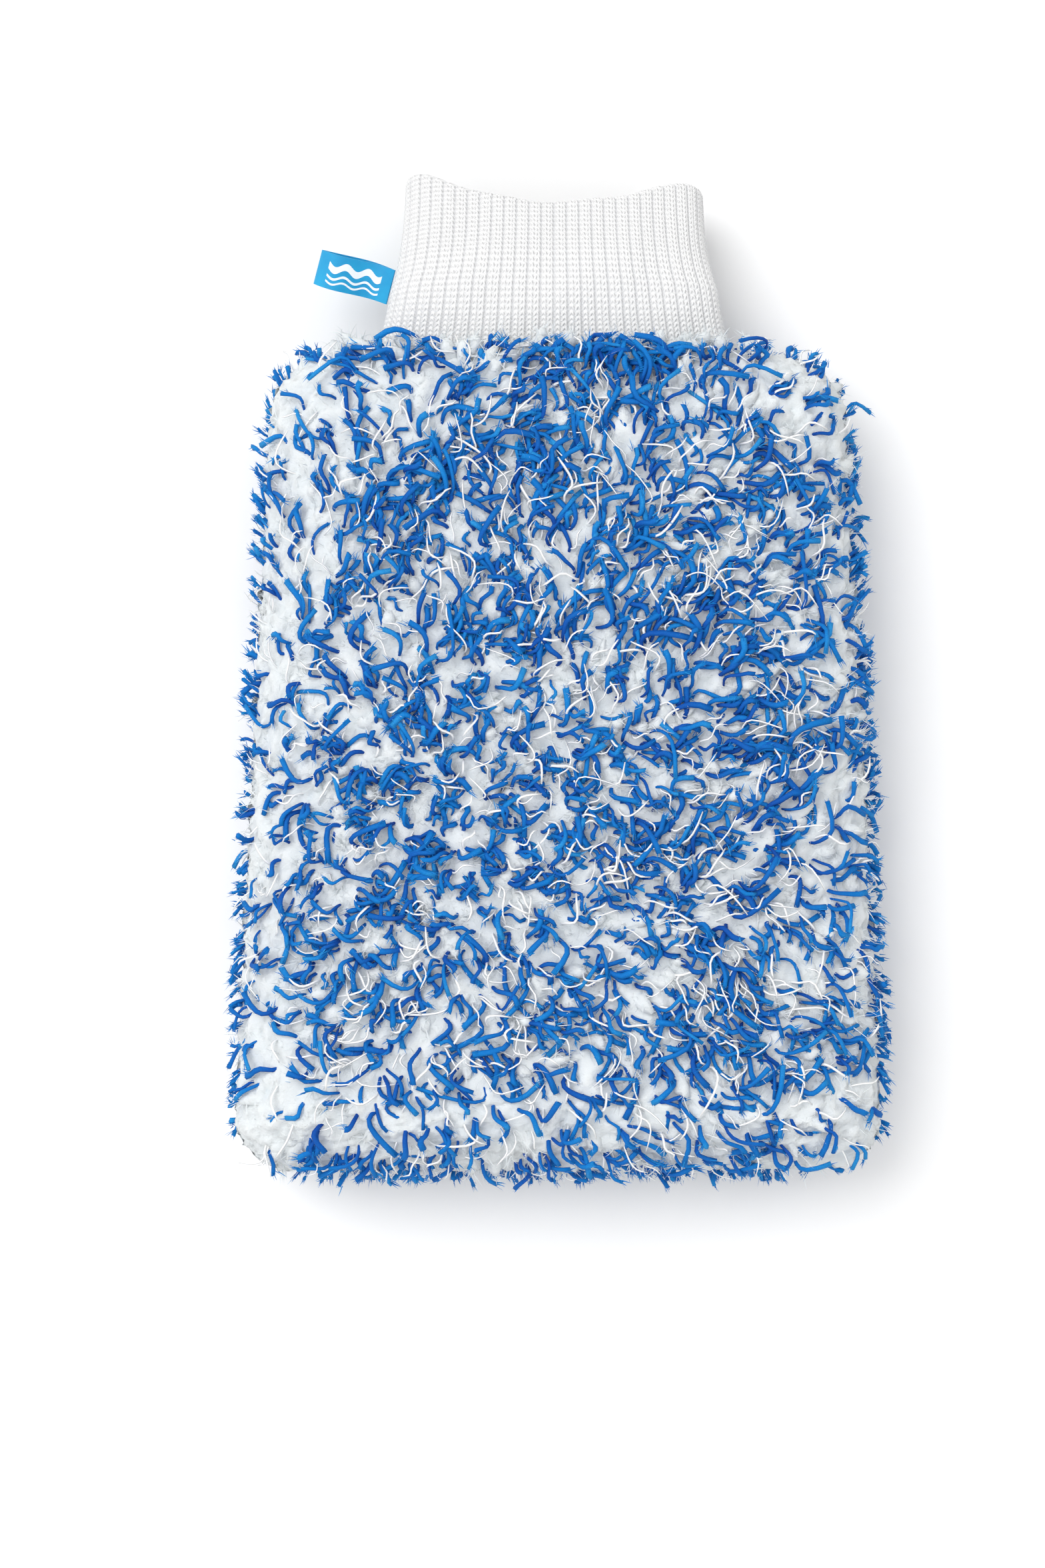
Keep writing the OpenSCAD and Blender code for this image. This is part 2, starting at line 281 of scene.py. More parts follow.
for name, mat in [("front_base_cloth", BASE_CLOTH), ("back_base_cloth", BASE_CLOTH),
                  ("front_foam", FOAM), ("back_foam", FOAM), ("front_lining", LINING),
                  ("back_lining", LINING), ("shell_seam_thread", THREAD),
                  ("lining_seam_thread", THREAD), ("cuff_join_thread", THREAD),
                  ("cuff_seam_thread", THREAD)]:
    nodes[name].data.materials.clear()
    nodes[name].data.materials.append(mat)


# ---------------------------------------------------------------- the bag's surface

def triangles_of(*names):
    """All triangles of some CAD nodes, as an array of corners."""
    found = []
    for name in names:
        mesh = nodes[name].data
        mesh.calc_loop_triangles()
        co = np.empty(len(mesh.vertices) * 3)
        mesh.vertices.foreach_get("co", co)
        tri = np.empty(len(mesh.loop_triangles) * 3, dtype=int)
        mesh.loop_triangles.foreach_get("vertices", tri)
        found.append(co.reshape(-1, 3)[tri.reshape(-1, 3)])
    return np.concatenate(found)


def unit(v):
    """Vectors brought to length 1."""
    return v / np.maximum(np.linalg.norm(v, axis=-1, keepdims=True), 1e-12)


def core_point(at):
    """The nearest point of a flat core in the middle of the bag, for each of some points."""
    return np.stack([np.clip(at[:, 0], -50 * MM, 50 * MM),
                     np.clip(at[:, 1], low[1] + 60 * MM, mouth_y - 40 * MM),
                     np.full(len(at), seam_z)], axis=1)


def outer_faces(*names):
    """The triangles that face away from the middle of the bag."""
    tri = triangles_of(*names)
    normal = unit(np.cross(tri[:, 1] - tri[:, 0], tri[:, 2] - tri[:, 0]))
    centre = tri.mean(1)
    outwards = (unit(centre - core_point(centre)) * normal).sum(1)
    return tri[outwards > 0.15]


def tree_of(tri):
    corners = np.arange(len(tri) * 3).reshape(-1, 3)
    return BVHTree.FromPolygons(tri.reshape(-1, 3).tolist(), corners.tolist())


pile_surface = tree_of(outer_faces("front_pile", "back_pile"))


def spread_roots(tri, gap, last_y):
    """Points spread over the bag at least a gap apart, with a normal and a pile depth each."""
    area = np.linalg.norm(np.cross(tri[:, 1] - tri[:, 0], tri[:, 2] - tri[:, 0]), axis=1) / 2
    count = int(area.sum() / gap ** 2 * 7)
    pick = rng.choice(len(tri), count, p=area / area.sum())
    a, b = rng.random((2, count, 1))
    a, b = np.where(a + b > 1, 1 - a, a), np.where(a + b > 1, 1 - b, b)
    t = tri[pick]
    points = t[:, 0] + a * (t[:, 1] - t[:, 0]) + b * (t[:, 2] - t[:, 0])
    normals = unit(np.cross(t[:, 1] - t[:, 0], t[:, 2] - t[:, 0]))
    cells, kept = {}, []
    for i, p in enumerate(points):
        if p[1] > last_y:
            continue
        key = tuple((p // gap).astype(int))
        near = [j for dx in (-1, 0, 1) for dy in (-1, 0, 1) for dz in (-1, 0, 1)
                for j in cells.get((key[0] + dx, key[1] + dy, key[2] + dz), ())]
        if all(((points[j] - p) ** 2).sum() > gap ** 2 for j in near):
            cells.setdefault(key, []).append(i)
            kept.append(i)
    points, normals = points[kept], normals[kept]
    depth = np.empty(len(kept))
    for i, (p, n) in enumerate(zip(points, normals)):
        hit = pile_surface.ray_cast(Vector(p + n * 0.5 * MM), Vector(n), 0.05)
        depth[i] = max(hit[3] + 0.5 * MM if hit[0] else 0, 8 * MM)
    return points, normals, depth


bag_faces = outer_faces("front_base_cloth", "back_base_cloth")
swirl_centre = np.array([-39 * MM, -48 * MM])


def comb(points, normals):
    """How the pile lies: outwards from one place on each panel, more so near the edges."""
    flat = points[:, :2] - swirl_centre
    far = np.linalg.norm(flat, axis=1, keepdims=True)
    lay = np.concatenate([flat / np.maximum(far, 1 * MM), np.zeros((len(flat), 1))], axis=1)
    lay = lay - (lay * normals).sum(1, keepdims=True) * normals
    wave = (np.sin(points[:, 0] * 61 + 2 * np.sin(points[:, 1] * 47)) +
            np.sin(points[:, 1] * 83 + 1.7 * np.sin(points[:, 0] * 71)))
    angle = 0.38 * wave + rng.normal(0, 0.3, len(points))
    lay = unit(lay + 1e-4)
    side = np.cross(normals, lay)
    lay = unit(lay * np.cos(angle)[:, None] + side * np.sin(angle)[:, None])
    strength = np.clip(far[:, 0] / (95 * MM), 0.1, 1)
    return lay, strength


# ---------------------------------------------------------------- strands

def model_strand(name, sides, rings, profile):
    """A straight strand of unit length and radius, modelled once: rings along Z."""
    bpy.ops.object.select_all(action="DESELECT")
    bpy.ops.mesh.primitive_cylinder_add(vertices=sides, radius=1, depth=1, end_fill_type="TRIFAN",
                                        location=(0, 0, 0.5))
    made = bpy.context.object
    made.name = name
    bpy.ops.object.transform_apply(location=True)
    bpy.ops.object.mode_set(mode="EDIT")
    for i in range(1, rings):
        bpy.ops.mesh.select_all(action="SELECT")
        bpy.ops.mesh.bisect(plane_co=(0, 0, i / rings), plane_no=(0, 0, 1))
    bpy.ops.mesh.select_all(action="SELECT")
    bpy.ops.mesh.quads_convert_to_tris()
    bpy.ops.object.mode_set(mode="OBJECT")
    mesh = made.data
    points = np.array([v.co[:] for v in mesh.vertices])
    faces = np.array([p.vertices[:] for p in mesh.polygons])
    bpy.data.objects.remove(made)
    points[:, :2] *= np.interp(points[:, 2], profile[0], profile[1])[:, None]
    return points, faces


def bezier(ctrl, s):
    """Points and directions at s of cubic curves: ctrl is (n, 4, 3), s is (k,)."""
    s = s[None, :, None]
    p0, p1, p2, p3 = (ctrl[:, i, None] for i in range(4))
    at = (1 - s) ** 3 * p0 + 3 * (1 - s) ** 2 * s * p1 + 3 * (1 - s) * s ** 2 * p2 + s ** 3 * p3
    to = 3 * (1 - s) ** 2 * (p1 - p0) + 6 * (1 - s) * s * (p2 - p1) + 3 * s ** 2 * (p3 - p2)
    return at, unit(to)


def grow(strand, ctrl, side, radius, wiggle=0.0, flat=1.0, lumps=0.0):
    """Bends a copy of the strand along each curve. side is a vector across each curve."""
    points, faces = strand
    levels, level = np.unique(np.round(points[:, 2], 4), return_inverse=True)
    at, to = bezier(ctrl, levels)
    n = len(ctrl)
    if wiggle:
        phase = rng.uniform(0, 2 * math.pi, (n, 1))
        rate = rng.uniform(5, 11, (n, 1))
        shift = wiggle * np.sin(phase + rate * levels) * levels
        at = at + shift[:, :, None] * side[:, None]
    up = unit(np.cross(to, side[:, None]))
    across = np.cross(up, to)
    turn = rng.uniform(0, 2 * math.pi, (n, 1))
    x = points[:, 0] * np.cos(turn) - points[:, 1] * np.sin(turn)
    y = points[:, 0] * np.sin(turn) + points[:, 1] * np.cos(turn)
    if lumps:
        swell = 1 + lumps * rng.normal(0, 1, x.shape)
        x, y = x * swell, y * swell
    r = radius[:, None]
    co = at[:, level] + (r * x)[..., None] * across[:, level] + (r * y * flat)[..., None] * up[:, level]
    co = co.reshape(-1, 3)
    co[:, 2] = np.maximum(co[:, 2], FLOOR_GAP)
    all_faces = (faces[None] + (np.arange(n) * len(points))[:, None, None]).reshape(-1, 3)
    # along runs from 0 at the root to 1 at the tip; the plush and yarn materials darken the roots with it
    # as painted shade.
    along = np.tile(points[:, 2], n)
    tint = np.repeat(rng.random(n), len(points))
    return co, all_faces, tint, along


def piece_of(name, parts, mat, body, smooth=True):
    """One mesh object from a list of (points, triangles, tint, along)."""
    start, co, tri, tint, along = 0, [], [], [], []
    for p, f, t, a in parts:
        co.append(p)
        tri.append(f + start)
        tint.append(t)
        along.append(a)
        start += len(p)
    co, tri = np.concatenate(co), np.concatenate(tri)
    mesh = bpy.data.meshes.new(name)
    mesh.vertices.add(len(co))
    mesh.vertices.foreach_set("co", co.ravel())
    mesh.loops.add(len(tri) * 3)
    mesh.loops.foreach_set("vertex_index", tri.ravel())
    mesh.polygons.add(len(tri))
    mesh.polygons.foreach_set("loop_start", np.arange(0, len(tri) * 3, 3))
    mesh.update(calc_edges=True)
    mesh.polygons.foreach_set("use_smooth", np.full(len(tri), smooth))
    for key, values in [("tint", np.concatenate(tint)), ("along", np.concatenate(along))]:
        layer = mesh.attributes.new(key, "FLOAT", "POINT")
        layer.data.foreach_set("value", values.astype(np.float32))
    mesh.materials.append(mat)
    made = bpy.data.objects.new(name, mesh)
    bpy.context.scene.collection.objects.link(made)
    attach(made, body)
    return made


def keep_in(ctrl, over_cuff):
    """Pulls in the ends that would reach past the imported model's sides, or too far over the cuff."""
    limits = [(0, low[0], high[0], 2.5 * MM), (1, low[1], mouth_y + over_cuff, 3.5 * MM)]
    for axis, least, most, room in limits:
        give = rng.uniform(-0.4, 1, len(ctrl)) * room
        past = np.clip(ctrl[:, 3, axis] - most - give, 0, None)
        short = np.clip(least - give - ctrl[:, 3, axis], 0, None)
        for place, share in ((3, 1.0), (2, 0.6), (1, 0.2)):
            ctrl[:, place, axis] += (short - past) * share
    return ctrl


def lock_curves(points, normals, depth):
    """White locks stand on the bag and lean with the lay; their tops stay in the pile."""
    lay, strength = comb(points, normals)
    n = len(points)
    height = depth * rng.uniform(0.66, 0.86, n)
    lay = turn_about(lay, normals, rng.normal(0, 0.9, n) * (1.1 - strength))
    upright = 0.35 + 0.65 * np.abs(normals[:, 2])
    lean = height * (0.25 + 0.75 * strength) * rng.uniform(0.6, 1.3, n) * upright
    top = points + normals * height[:, None] + lay * lean[:, None]
    ctrl = np.stack([points, points + normals * (height * 0.5)[:, None],
                     points + normals * (height * 0.92)[:, None] + lay * (lean * 0.35)[:, None],
                     top], axis=1)
    return keep_in(ctrl, 0.5 * MM), np.cross(normals, lay)


def fuzz_on(ctrl, side, radius, per_lock, length):
    """Fine fibres that stand off the locks: thin curved strips."""
    n = len(ctrl)
    which = np.repeat(np.arange(n), per_lock)
    m = len(which)
    s = rng.uniform(0.45, 1.0, m) ** 0.8
    c = ctrl[which]
    k = s[:, None]
    at = ((1 - k) ** 3 * c[:, 0] + 3 * (1 - k) ** 2 * k * c[:, 1] + 3 * (1 - k) * k ** 2 * c[:, 2]
          + k ** 3 * c[:, 3])
    to = unit(3 * (1 - k) ** 2 * (c[:, 1] - c[:, 0]) + 6 * (1 - k) * k * (c[:, 2] - c[:, 1])
              + 3 * k ** 2 * (c[:, 3] - c[:, 2]))
    up = unit(np.cross(to, side[which]))
    across = np.cross(up, to)
    angle = rng.uniform(0, 2 * math.pi, (m, 1))
    out = across * np.cos(angle) + up * np.sin(angle)
    swell = radius[which][:, None] * np.interp(s, [0, 0.65, 0.85, 1], [0.8, 0.95, 0.75, 0.1])[:, None]
    base = at + out * swell
    reach = length * rng.uniform(0.5, 1.3, (m, 1))
    heading = unit(to * rng.uniform(0.2, 1.2, (m, 1)) + out * rng.uniform(0.1, 0.8, (m, 1))
                   + rng.normal(0, 0.45, (m, 3)))
    curl = rng.normal(0, 0.45, (m, 3))
    tips = [base + heading * reach * f + curl * reach * f * f for f in (0, 0.4, 0.75, 1.0)]
    wide = unit(np.cross(heading, out + rng.normal(0, 0.3, (m, 3))))
    width = rng.uniform(0.09, 0.17, (m, 1)) * MM
    rows = [tips[0] - wide * width, tips[0] + wide * width, tips[1] - wide * width,
            tips[1] + wide * width, tips[2] - wide * width * 0.7, tips[2] + wide * width * 0.7, tips[3]]
    co = np.stack(rows, axis=1).reshape(-1, 3)
    co[:, 2] = np.maximum(co[:, 2], FLOOR_GAP)
    strip = np.array([[0, 1, 3], [0, 3, 2], [2, 3, 5], [2, 5, 4], [4, 5, 6]])
    faces = (strip[None] + (np.arange(m) * 7)[:, None, None]).reshape(-1, 3)
    tint = np.repeat(rng.uniform(0.4, 1.0, m), 7)
    return co, faces, tint, np.tile([0, 0, 0.4, 0.4, 0.75, 0.75, 1], m)


LUMPS_PER_M = 230
LUMP_HEIGHT = 1.7 * MM


def cushion(panel, sink):
    """The matted ground of the plush: the pile's outer skin, sunk a little, with soft uneven lumps,
    lighter on their tops and darker in their hollows as painted shade.
    """
    skin = bpy.data.objects.new("skin", nodes[f"{panel}_pile"].data.copy())
    bpy.context.scene.collection.objects.link(skin)
    even = skin.modifiers.new("even", "REMESH")
    even.mode, even.voxel_size = "VOXEL", 1.6 * MM
    bpy.ops.object.select_all(action="DESELECT")
    skin.select_set(True)
    bpy.context.view_layer.objects.active = skin
    bpy.ops.object.modifier_apply(modifier="even")
    mesh = skin.data
    co = np.empty(len(mesh.vertices) * 3)
    mesh.vertices.foreach_get("co", co)
    co = co.reshape(-1, 3)
    normals = np.array([v.normal[:] for v in mesh.vertices])
    mesh.calc_loop_triangles()
    faces = np.array([t.vertices[:] for t in mesh.loop_triangles])
    bpy.data.objects.remove(skin)
    out = (unit(co - core_point(co)) * normals).sum(1) > 0.1
    faces = faces[out[faces].all(1)]
    roughness, gain, octaves = 0.7, 2.2, 4
    lumps = np.array([fractal(Vector(p) * LUMPS_PER_M, roughness, gain, octaves) for p in co])
    lumps = np.clip(lumps, -1.2, 1.2)
    co = co + normals * (lumps[:, None] * LUMP_HEIGHT - sink)
    co = co + rng.normal(0, 0.14 * MM, co.shape)
    # The two panels' grounds meet at the side seam, and lap a little.
    edges = np.sort(np.concatenate([faces[:, :2], faces[:, 1:], faces[:, ::2]]), axis=1)
    edges, uses = np.unique(edges, axis=0, return_counts=True)
    rim = np.unique(edges[uses == 1])
    near_seam, lap = 7 * MM, 0.7 * MM
    rim = rim[np.abs(co[rim, 2] - seam_z) < near_seam]
    co[rim, 2] = seam_z + (-lap if panel == "front" else lap)
    co[:, 2] = np.maximum(co[:, 2], FLOOR_GAP)
    used = np.unique(faces)
    index = np.full(len(co), -1)
    index[used] = np.arange(len(used))
    # Painted shade: higher lumps get higher tint and along values, so their tops colour lighter and the
    # hollows between them darker.
    swell = 0.4 * lumps[used]
    return co[used], index[faces], np.clip(0.5 + swell, 0, 1), np.clip(0.6 + swell, 0, 1)


def part_of(ground, keep):
    """The triangles of the ground whose middles pass keep."""
    co, faces, tint, along = ground
    faces = faces[keep(co[faces].mean(1))]
    used, index = np.unique(faces, return_inverse=True)
    return co[used], index.reshape(-1, 3), tint[used], along[used]


lock = model_strand("lock", 10, 8, ([0, 0.2, 0.45, 0.7, 0.88, 1], [0.5, 0.75, 0.95, 1.05, 0.9, 0.4]))
yarn = model_strand("yarn", 5, 9, ([0, 0.3, 0.6, 0.85, 1], [0.55, 0.75, 0.95, 1.15, 1.25]))
filament = model_strand("filament", 3, 10, ([0, 0.2, 0.9, 1], [0.6, 1, 0.9, 0.5]))


def yarn_curves(points, normals, depth, counts, near, far, lift, spread):
    """Ends come up between the locks and fall over on top of them, fanned from one root.

    near and far bound how far an end reaches, in millimetres. lift raises it over the pile's top.
    """
    which = np.repeat(np.arange(len(points)), rng.choice([1, 2, 3, 4, 5], len(points), p=counts))
    p, nrm, d = points[which], normals[which], depth[which]
    lay, strength = comb(p, nrm)
    lay = turn_about(lay, nrm, rng.normal(0, 1.15, len(points))[which] * (1.15 - strength))
    lay = turn_about(lay, nrm, rng.normal(0, spread, len(which)))
    side = np.cross(nrm, lay)
    p = p + rng.normal(0, 0.8 * MM, p.shape)
    # Round the sides they stand straight out, as a fringe.
    sideways = 1 - np.abs(nrm[:, 2]) ** 0.7
    reach = rng.uniform(near, far, len(which)) * MM * (0.75 + 0.35 * strength) * (1 - 0.55 * sideways)
    top = d * rng.uniform(0.86, 1.0, len(which)) + lift * (1 - sideways)
    fall = rng.uniform(-2.5, 1.2, len(which)) * MM * (1 - sideways)
    bow = side * (rng.normal(0, 0.5, len(which)) * reach)[:, None]
    out = [nrm * height[:, None] for height in (d * 0.3, top * (1.05 - 0.5 * sideways),
                                                top * (1.05 - 0.2 * sideways),
                                                top * (1 + 0.12 * sideways) + fall)]
    ctrl = np.stack([p + out[0],
                     p + out[1] - lay * 1.0 * MM + bow * 0.4,
                     p + out[2] + lay * (reach * 0.5)[:, None] + bow,
                     p + out[3] + lay * reach[:, None] - bow * 0.5], axis=1)
    return keep_in(ctrl, -1.5 * MM), side


def turn_about(v, axis, angle):
    """Vectors v, square to their axes, turned about them."""
    return v * np.cos(angle)[:, None] + np.cross(axis, v) * np.sin(angle)[:, None]


def fray(ctrl, radius, per_end):
    """A few loose fibres at each cut end of a yarn."""
    m = len(ctrl) * per_end
    tip = np.repeat(ctrl[:, 3], per_end, axis=0)
    way = np.repeat(unit(ctrl[:, 3] - ctrl[:, 2]), per_end, axis=0)
    r = np.repeat(radius, per_end)[:, None]
    start = tip + rng.normal(0, 0.6, (m, 3)) * r - way * 1.2 * MM
    heading = unit(way + rng.normal(0, 0.25, (m, 3)))
    reach = rng.uniform(1.8, 3.6, (m, 1)) * MM
    wide = unit(np.cross(heading, rng.normal(0, 1, (m, 3)))) * rng.uniform(0.1, 0.2, (m, 1)) * MM
    co = np.stack([start - wide, start + wide, start + heading * reach * 0.6 - wide * 0.7,
                   start + heading * reach * 0.6 + wide * 0.7, start + heading * reach], axis=1)
    co = co.reshape(-1, 3)
    co[:, 2] = np.maximum(co[:, 2], FLOOR_GAP)
    faces = np.array([[0, 1, 3], [0, 3, 2], [2, 3, 4]])
    faces = (faces[None] + (np.arange(m) * 5)[:, None, None]).reshape(-1, 3)
    return co, faces, np.repeat(rng.uniform(0.4, 1, m), 5), np.full(m * 5, 1.0)


LOCK_GAP, YARN_GAP, FILAMENT_GAP = 4.3 * MM, 4.55 * MM, 6.4 * MM
GROUND_SINK = 3.0 * MM                          # how far the ground lies below the pile's top
FRONT_FUZZ, BACK_FUZZ = 40, 12                  # fine fibres on each lock
FRAYED_FIBRES = 7                               # loose fibres at each yarn end
YARN_COUNTS = [0.3, 0.3, 0.2, 0.12, 0.08]       # the shares of roots with one to five ends
FILAMENT_COUNTS = [0.45, 0.3, 0.15, 0.06, 0.04]


def grow_pile():
    """The ground, the locks and their fuzz, the blue yarns and the filaments, a quarter at a time."""
    last_root = mouth_y - 2 * MM
    half_y = (low[1] + mouth_y) / 2
    locks = spread_roots(bag_faces, LOCK_GAP, last_root)
    tufts = spread_roots(bag_faces, YARN_GAP, last_root)
    threads = spread_roots(bag_faces, FILAMENT_GAP, last_root)
    grounds = {panel: cushion(panel, GROUND_SINK) for panel in ("front", "back")}
    for panel, end in [("front", "near_cuff"), ("front", "closed_end"),
                       ("back", "near_cuff"), ("back", "closed_end")]:
        front = panel == "front"
        closer = end == "near_cuff"

        def mine(roots):
            on_panel = (roots[0][:, 2] >= seam_z) == front
            here = on_panel & ((roots[0][:, 1] >= half_y) == closer)
            return [r[here] for r in roots]

        points, normals, depth = mine(locks)
        ctrl, side = lock_curves(points, normals, depth)
        radius = rng.uniform(1.5, 2.7, len(points)) * MM
        body = grow(lock, ctrl, side, radius, lumps=0.16)
        ground = part_of(grounds[panel], lambda at: (at[:, 1] >= half_y) == closer)
        plush = piece_of(f"{panel}_white_locks_{end}", [body, ground], PLUSH, "mitt")
        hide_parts(f"{panel}_pile")
        fuzz = fuzz_on(ctrl, side, radius, FRONT_FUZZ if front else BACK_FUZZ, 3.6 * MM)
        piece_of(f"{panel}_white_fuzz_{end}", [fuzz], PLUSH, "mitt")

        points, normals, depth = mine(tufts)
        ctrl, side = yarn_curves(points, normals, depth, YARN_COUNTS, 4, 12, 0.6 * MM, 0.3)
        radius = rng.uniform(0.5, 0.9, len(ctrl)) * MM
        ends = [grow(yarn, ctrl, side, radius, wiggle=1.2 * MM, flat=0.7),
                fray(ctrl, radius, FRAYED_FIBRES)]
        piece_of(f"{panel}_blue_yarns_{end}", ends, BLUE, "mitt")

        points, normals, depth = mine(threads)
        ctrl, side = yarn_curves(points, normals, depth, FILAMENT_COUNTS, 5, 12, 1.6 * MM, 0.5)
        radius = rng.uniform(0.28, 0.5, len(ctrl)) * MM
        strands = grow(filament, ctrl, side, radius, wiggle=1.3 * MM, flat=0.6)
        piece_of(f"{panel}_filaments_{end}", [strands], FILAMENT, "mitt")


grow_pile()


# ---------------------------------------------------------------- cuff

CUFF_RIBS = 56
OVAL = 2 / 3                                    # how square the cuff's section is
DROOP = math.radians(15)
EAR_L = (high[1] + 0.65 * MM - bend[1]) / math.cos(DROOP)


def power(v, e):
    """A power that keeps the sign."""
    return np.sign(v) * np.abs(v) ** e


def grid(name, across, along):
    """A flat grid of unit size, modelled with its own UV map. X and Y run from 0 to 1."""
    bpy.ops.object.select_all(action="DESELECT")
    bpy.ops.mesh.primitive_grid_add(x_subdivisions=across, y_subdivisions=along, size=1,
                                    location=(0.5, 0.5, 0), calc_uvs=True)
    made = bpy.context.object
    bpy.ops.object.transform_apply(location=True)
    made.name = name
    return made


def points_of(piece):
    co = np.empty(len(piece.data.vertices) * 3)
    piece.data.vertices.foreach_get("co", co)
    return co.reshape(-1, 3)


def move_to(piece, co):
    piece.data.vertices.foreach_set("co", np.ascontiguousarray(co, dtype=np.float32).ravel())
    piece.data.update()


def even_angles(share):
    """Angles round the cuff's section that are evenly spread along its outline."""
    t = np.linspace(0, 2 * math.pi, 4001)
    x, z = 46 * power(np.cos(t), OVAL), 14 * power(np.sin(t), OVAL)
    length = np.concatenate([[0], np.cumsum(np.hypot(np.diff(x), np.diff(z)))])
    return np.interp(share, length / length[-1], t)


def cuff_length(cx, cz):
    """How far the cuff reaches at a point of its section: the side corners stand higher."""
    ear = np.where(cx < 0, EAR_L, EAR_L - 3.2 * MM)
    mid = np.where(cz < 0, EAR_L - 10 * MM, EAR_L - 13.5 * MM)
    far = np.abs(cx)
    return mid + (ear - mid) * far ** 1.9 - 3.2 * MM * far ** 16


def place_in_droop(x, s, z):
    """From the straight cuff to the one that droops. The turn is spread over 16 mm at the bend."""
    step = np.linspace(-30 * MM, 60 * MM, 901)
    angle = DROOP * np.clip((step + 8 * MM) / (16 * MM), 0, 1)
    gap = step[1] - step[0]
    y_mid = np.concatenate([[0], np.cumsum(np.cos(angle[1:]) * gap)])
    z_mid = np.concatenate([[0], np.cumsum(-np.sin(angle[1:]) * gap)])
    far = np.argmin(np.abs(step - 20 * MM))
    y_mid += 20 * MM * math.cos(DROOP) - y_mid[far]
    z_mid += -20 * MM * math.sin(DROOP) - z_mid[far]
    a = np.interp(s, step, angle)
    return np.stack([x + bend[0], bend[1] + np.interp(s, step, y_mid) + z * np.sin(a),
                     bend[2] + np.interp(s, step, z_mid) + z * np.cos(a)], axis=-1)


def knit_cuff():
    """One knitted tube: up the outside, over the folded edge and down the inside.

    Its ribs are wide and flat with narrow grooves between them, and lie side by side all round.
    """
    columns, rows = CUFF_RIBS * 13, 108
    cuff = grid("rib_knit_cuff", columns, rows)
    flat = points_of(cuff)
    share, way = flat[:, 0], flat[:, 1]
    t = even_angles(share)
    cx, cz = power(np.cos(t), OVAL), power(np.sin(t), OVAL)
    root = -20 * MM
    reach = cuff_length(cx, cz) - 1.6 * MM
    deep = 2 * 1.4 * MM + (0.4 + 1.2 * np.abs(cx) ** 8) * MM
    # Three stretches of the tube's length: outside, fold and inside.
    outside, fold = 0.56, 0.66
    up = np.clip(way / outside, 0, 1)
    over = np.clip((way - outside) / (fold - outside), 0, 1)
    down = np.clip((way - fold) / (1 - fold), 0, 1)
    s = root + (reach - root) * (up - down) + 1.6 * MM * np.sin(np.pi * over)
    depth = deep * (1 - np.cos(np.pi * over)) / 2
    depth = np.where(down > 0, deep, depth)

    rib = share * CUFF_RIBS
    place = rib % 1
    ridge = 1 - np.abs(2 * place - 1) ** 5
    course = s / (1.5 * MM)
    # Each rib is two columns of stitches, with a slight dip between them.
    ridge_mm = 0.7 * ridge - 0.14 * np.exp(-((place - 0.5) / 0.08) ** 2)
    # Ribs don't run quite straight, and the cloth has soft creases along it.
    uneven = 0.5 * np.sin(share * 37 + 5 * np.sin(s * 60)) + 0.35 * np.sin(share * 91 + s * 110)
    wrinkle = 0.5 * np.sin(share * 44 + s * 35) * np.clip(s / (30 * MM) + 0.4, 0, 1)
    side = np.where(over + down > 0, np.cos(np.pi * np.clip(over, 0, 1)), 1)
    out = (ridge_mm - 0.7 + 0.35 * uneven + 0.4 * wrinkle) * MM * side
    width = 45 * MM + 4 * MM * np.exp(-np.clip(s, 0, None) / (9 * MM))
    width = width + np.clip(-s / (17 * MM), 0, 1.2) * 3.4 * MM
    height = 15 * MM - 2.5 * MM * np.clip(s / EAR_L, 0, 1)
    x, z = (width - depth) * cx, (height - depth) * cz
    nx, nz = power(cx, 2) / width, power(cz, 2) / height
    size = np.hypot(nx, nz)
    x, z = x + out * nx / size, z + out * nz / size
    s = s + np.sin(np.pi * over) * (ridge_mm - 0.7) * MM * 0.8
    s = s - 0.35 * MM * np.sin(share * 53) * np.clip(up, 0, 1) ** 8
    move_to(cuff, place_in_droop(x, s, z))

    mesh = cuff.data
    uv = mesh.uv_layers.active
    uv.name = "knit"
    vertex = np.empty(len(mesh.loops), dtype=int)
    mesh.loops.foreach_get("vertex_index", vertex)
    stitches = np.stack([2 * rib[vertex], course[vertex]], axis=1)
    uv.data.foreach_set("uv", stitches.astype(np.float32).ravel())
    # The rib attribute carries the ridge height, which the knit's material turns into painted shade in the
    # grooves.
    layer = mesh.attributes.new("rib", "FLOAT", "POINT")
    layer.data.foreach_set("value", ridge.astype(np.float32))
    bpy.ops.object.mode_set(mode="EDIT")
    bpy.ops.mesh.select_all(action="SELECT")
    bpy.ops.mesh.remove_doubles(threshold=0.01 * MM)
    bpy.ops.mesh.flip_normals()
    bpy.ops.object.mode_set(mode="OBJECT")
    bpy.ops.object.shade_smooth()
    mesh.materials.append(KNIT)
    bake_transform(cuff)
    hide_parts("cuff_root", "rib_cuff")


knit_cuff()


# ---------------------------------------------------------------- label

